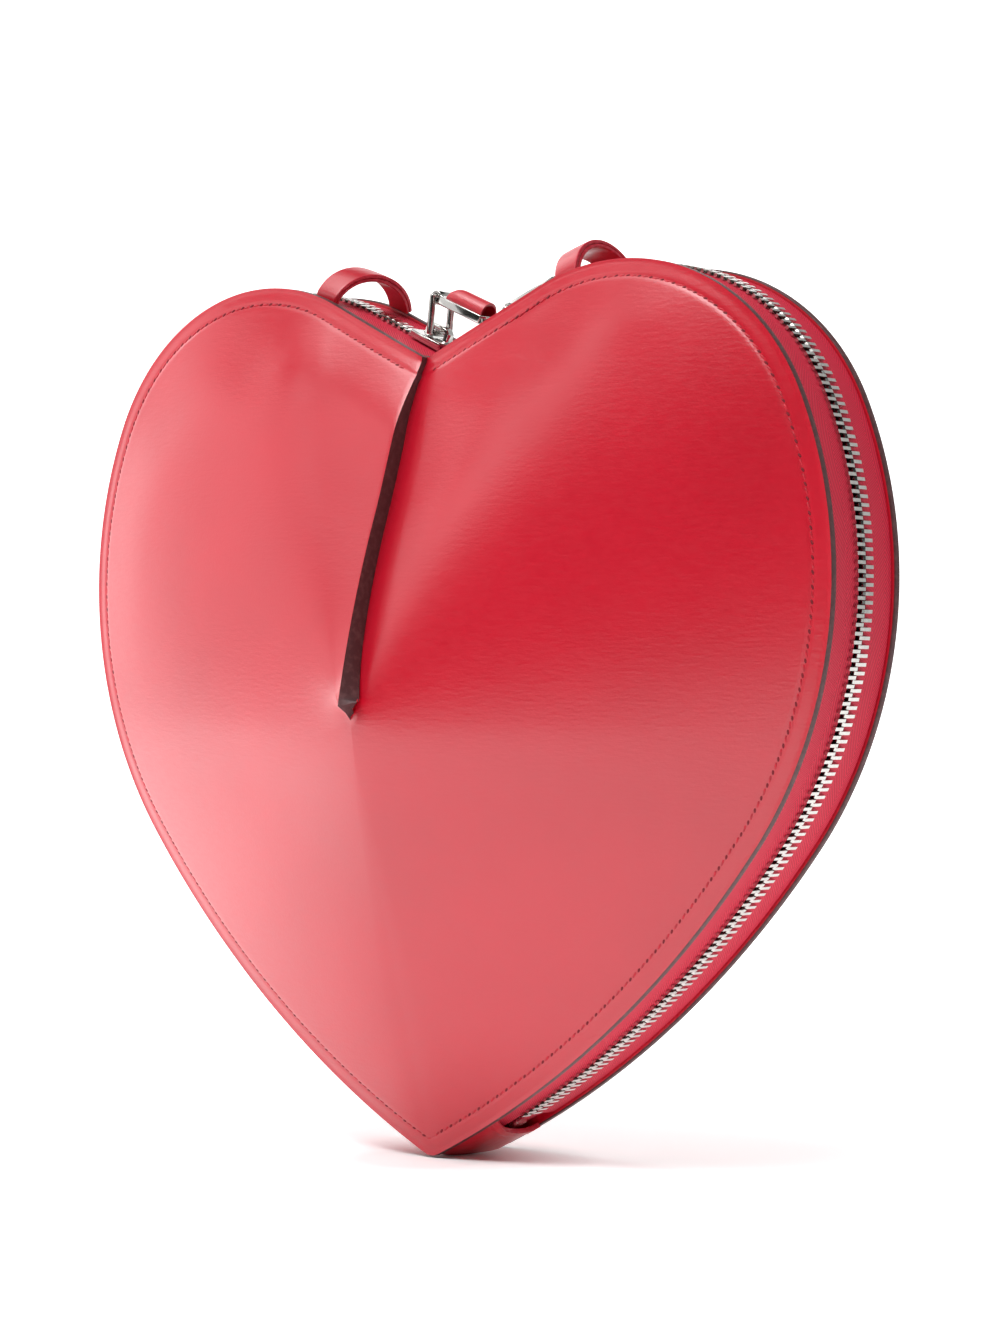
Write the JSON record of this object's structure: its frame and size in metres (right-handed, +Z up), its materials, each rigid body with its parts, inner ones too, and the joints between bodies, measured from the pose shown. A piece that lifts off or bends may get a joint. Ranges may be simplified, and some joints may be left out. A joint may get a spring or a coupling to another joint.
{
  "type": "heart shaped purse",
  "caption": "Heart shaped leather shoulder purse with a coned, darted front, a zipped gusset with paired sliders and pulls, and leather strap loops.",
  "frame": {"origin": "at the level of the tip, under the middle of the purse's box from the front panel's top to the back panel", "axes": "+X to the right seen from the front, +Y towards the flat back panel, +Z up from the tip to the lobes"},
  "size_m": [0.2364, 0.0636, 0.2287],
  "materials": {
    "leather": "boarded calf leather, painted cut edges",
    "lining": "woven lining",
    "zip_tape": "herringbone twill",
    "zip_metal": "polished",
    "hardware": "polished"
  },
  "bodies": {
    "back_shell": {"back_panel": "leather", "back_lining": "lining", "back_tape": "zip_tape", "back_teeth": "zip_metal", "chain_stops": "zip_metal", "base_gusset": "leather"},
    "front_shell": {"front_panel": "leather", "front_lining": "lining", "front_tape": "zip_tape", "front_teeth": "zip_metal", "strap_tab_left": "leather", "strap_tab_right": "leather"},
    "slider_left": {"slider_left": "hardware"},
    "link_left": {"pull_link_left": "hardware"},
    "pull_left": {"pull_plate_left": "hardware", "pull_leather_left": "leather"},
    "slider_right": {"slider_right": "hardware"},
    "link_right": {"pull_link_right": "hardware"},
    "pull_right": {"pull_plate_right": "hardware", "pull_leather_right": "leather"}
  },
  "joints": [
    {"name": "shell_opening", "type": "hinge", "parent": "back_shell", "child": "front_shell", "pos_m": [0, 0.00485, 0], "axis": [1, 0, 0], "range_deg": [0, 50], "deforming": ["back_teeth", "front_teeth"]},
    {"name": "slider_left_travel", "type": "slide", "parent": "back_shell", "child": "slider_left", "axis": [-0.903, 0, 0.4297], "range_m": [0, 0.012], "deforming": ["back_teeth", "front_teeth"]},
    {"name": "link_left_swing", "type": "hinge", "parent": "slider_left", "child": "link_left", "pos_m": [-0.01125, 0.01735, 0.20707], "axis": [0, 1, 0], "range_deg": [-30, 2]},
    {"name": "pull_left_swing", "type": "hinge", "parent": "link_left", "child": "pull_left", "pos_m": [-0.01039, 0.01735, 0.21603], "axis": [0, 1, 0], "range_deg": [-90, 4]},
    {"name": "slider_right_travel", "type": "slide", "parent": "back_shell", "child": "slider_right", "axis": [0.903, 0, 0.4297], "range_m": [0, 0.012], "deforming": ["back_teeth", "front_teeth"]},
    {"name": "link_right_swing", "type": "hinge", "parent": "slider_right", "child": "link_right", "pos_m": [0.00705, 0.01735, 0.20507], "axis": [0, 1, 0], "range_deg": [-30, 2]},
    {"name": "pull_right_swing", "type": "hinge", "parent": "link_right", "child": "pull_right", "pos_m": [0.01337, 0.01735, 0.21148], "axis": [0, 1, 0], "range_deg": [-70, 4]}
  ]
}
